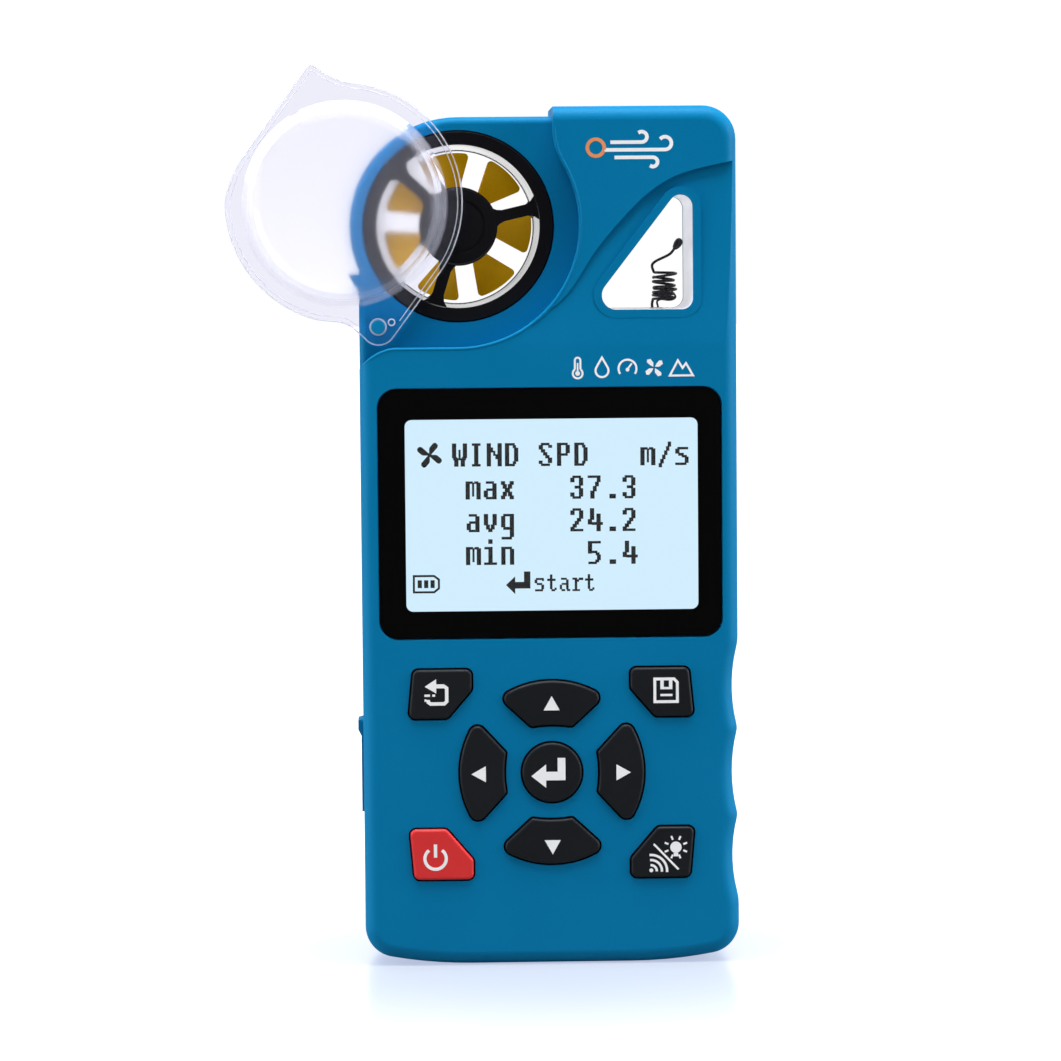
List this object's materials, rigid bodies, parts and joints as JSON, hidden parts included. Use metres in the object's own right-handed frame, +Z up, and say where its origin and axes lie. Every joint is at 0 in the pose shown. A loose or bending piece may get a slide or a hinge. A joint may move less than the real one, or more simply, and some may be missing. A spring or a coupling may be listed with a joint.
{
  "type": "handheld weather meter",
  "caption": "Upright handheld weather meter with a vane impeller duct under a swing cover, an open sensor window, a display and a keypad.",
  "frame": {"origin": "centre of the standing foot, on the plane the meter stands on, halfway between the front and rear faces", "axes": "+X to the reader's right, +Y from the front face into the case, +Z up along the case"},
  "size_m": [0.0881, 0.0276, 0.1561],
  "materials": {
    "case_blue": "fine matte texture",
    "seal_black": "matte",
    "insert_brass": "satin",
    "screw_steel": "satin",
    "lens_clear": "gloss",
    "mask_black": "printed black",
    "lcd_glass": "satin",
    "backlight": "lit",
    "plastic_white": "matte",
    "key_rubber": "matte",
    "key_red": "matte",
    "dome_steel": "satin",
    "board_green": "solder mask",
    "chip_black": "matte",
    "battery_wrap": "satin wrap",
    "pad_foam": "foam",
    "vane_black": "satin",
    "liner_grey": "satin",
    "wire_black": "varnished",
    "blade_mustard": "satin",
    "magnet_grey": "satin",
    "cover_clear": "frosted",
    "flap_blue": "matte"
  },
  "bodies": {
    "case": {"front_shell": "case_blue", "rear_shell": "case_blue", "case_seal": "seal_black", "threaded_inserts": "insert_brass", "case_screws": "screw_steel", "board_screws": "screw_steel", "display_lens": "lens_clear", "display_mask": "mask_black", "lcd_panel": "lcd_glass", "lcd_backlight": "backlight", "lcd_holder": "plastic_white", "keypad_mat": "key_rubber", "snap_domes": "dome_steel", "main_board": "board_green", "board_chips": "chip_black", "pressure_sensor": "dome_steel", "buzzer": "chip_black", "usb_socket": "dome_steel", "battery_pack": "battery_wrap", "battery_pad": "pad_foam", "vane_housing": "vane_black", "vane_bridge": "vane_black", "vane_bearings": "insert_brass", "pickup_sensor": "chip_black", "cover_pivot": "case_blue", "window_liner": "liner_grey", "thermistor_base": "plastic_white", "thermistor_lead": "wire_black", "thermistor_bead": "wire_black", "sensor_board": "board_green"},
    "impeller": {"impeller": "blade_mustard", "impeller_shaft": "screw_steel", "impeller_magnet": "magnet_grey"},
    "cover": {"swing_cover": "cover_clear"},
    "flap": {"usb_flap": "flap_blue"},
    "key_escape_body": {"key_escape": "key_rubber"},
    "key_save_body": {"key_save": "key_rubber"},
    "key_power_body": {"key_power": "key_red"},
    "key_light_body": {"key_light": "key_rubber"},
    "key_up_body": {"key_up": "key_rubber"},
    "key_down_body": {"key_down": "key_rubber"},
    "key_left_body": {"key_left": "key_rubber"},
    "key_right_body": {"key_right": "key_rubber"},
    "key_enter_body": {"key_enter": "key_rubber"}
  },
  "joints": [
    {"name": "impeller_spin", "type": "hinge", "parent": "case", "child": "impeller", "pos_m": [-0.0153, 0, 0.12815], "axis": [0, 1, 0], "continuous": true},
    {"name": "cover_swing", "type": "hinge", "parent": "case", "child": "cover", "pos_m": [-0.02928, -0.0105, 0.11095], "axis": [0, 1, 0], "range_deg": [-68, 53.7]},
    {"name": "flap_hinge", "type": "hinge", "parent": "case", "child": "flap", "pos_m": [-0.033, -0.0037, 0.02625], "axis": [0, 1, 0], "range_deg": [-100, 0]},
    {"name": "key_escape_press", "type": "slide", "parent": "case", "child": "key_escape_body", "axis": [0, 1, 0], "range_m": [0, 0.0005], "stiffness_N_per_m": 1500, "springref_m": -0.0004},
    {"name": "key_save_press", "type": "slide", "parent": "case", "child": "key_save_body", "axis": [0, 1, 0], "range_m": [0, 0.0005], "stiffness_N_per_m": 1500, "springref_m": -0.0004},
    {"name": "key_power_press", "type": "slide", "parent": "case", "child": "key_power_body", "axis": [0, 1, 0], "range_m": [0, 0.0005], "stiffness_N_per_m": 1500, "springref_m": -0.0004},
    {"name": "key_light_press", "type": "slide", "parent": "case", "child": "key_light_body", "axis": [0, 1, 0], "range_m": [0, 0.0005], "stiffness_N_per_m": 1500, "springref_m": -0.0004},
    {"name": "key_up_press", "type": "slide", "parent": "case", "child": "key_up_body", "axis": [0, 1, 0], "range_m": [0, 0.0005], "stiffness_N_per_m": 1500, "springref_m": -0.0004},
    {"name": "key_down_press", "type": "slide", "parent": "case", "child": "key_down_body", "axis": [0, 1, 0], "range_m": [0, 0.0005], "stiffness_N_per_m": 1500, "springref_m": -0.0004},
    {"name": "key_left_press", "type": "slide", "parent": "case", "child": "key_left_body", "axis": [0, 1, 0], "range_m": [0, 0.0005], "stiffness_N_per_m": 1500, "springref_m": -0.0004},
    {"name": "key_right_press", "type": "slide", "parent": "case", "child": "key_right_body", "axis": [0, 1, 0], "range_m": [0, 0.0005], "stiffness_N_per_m": 1500, "springref_m": -0.0004},
    {"name": "key_enter_press", "type": "slide", "parent": "case", "child": "key_enter_body", "axis": [0, 1, 0], "range_m": [0, 0.0005], "stiffness_N_per_m": 1500, "springref_m": -0.0004}
  ]
}
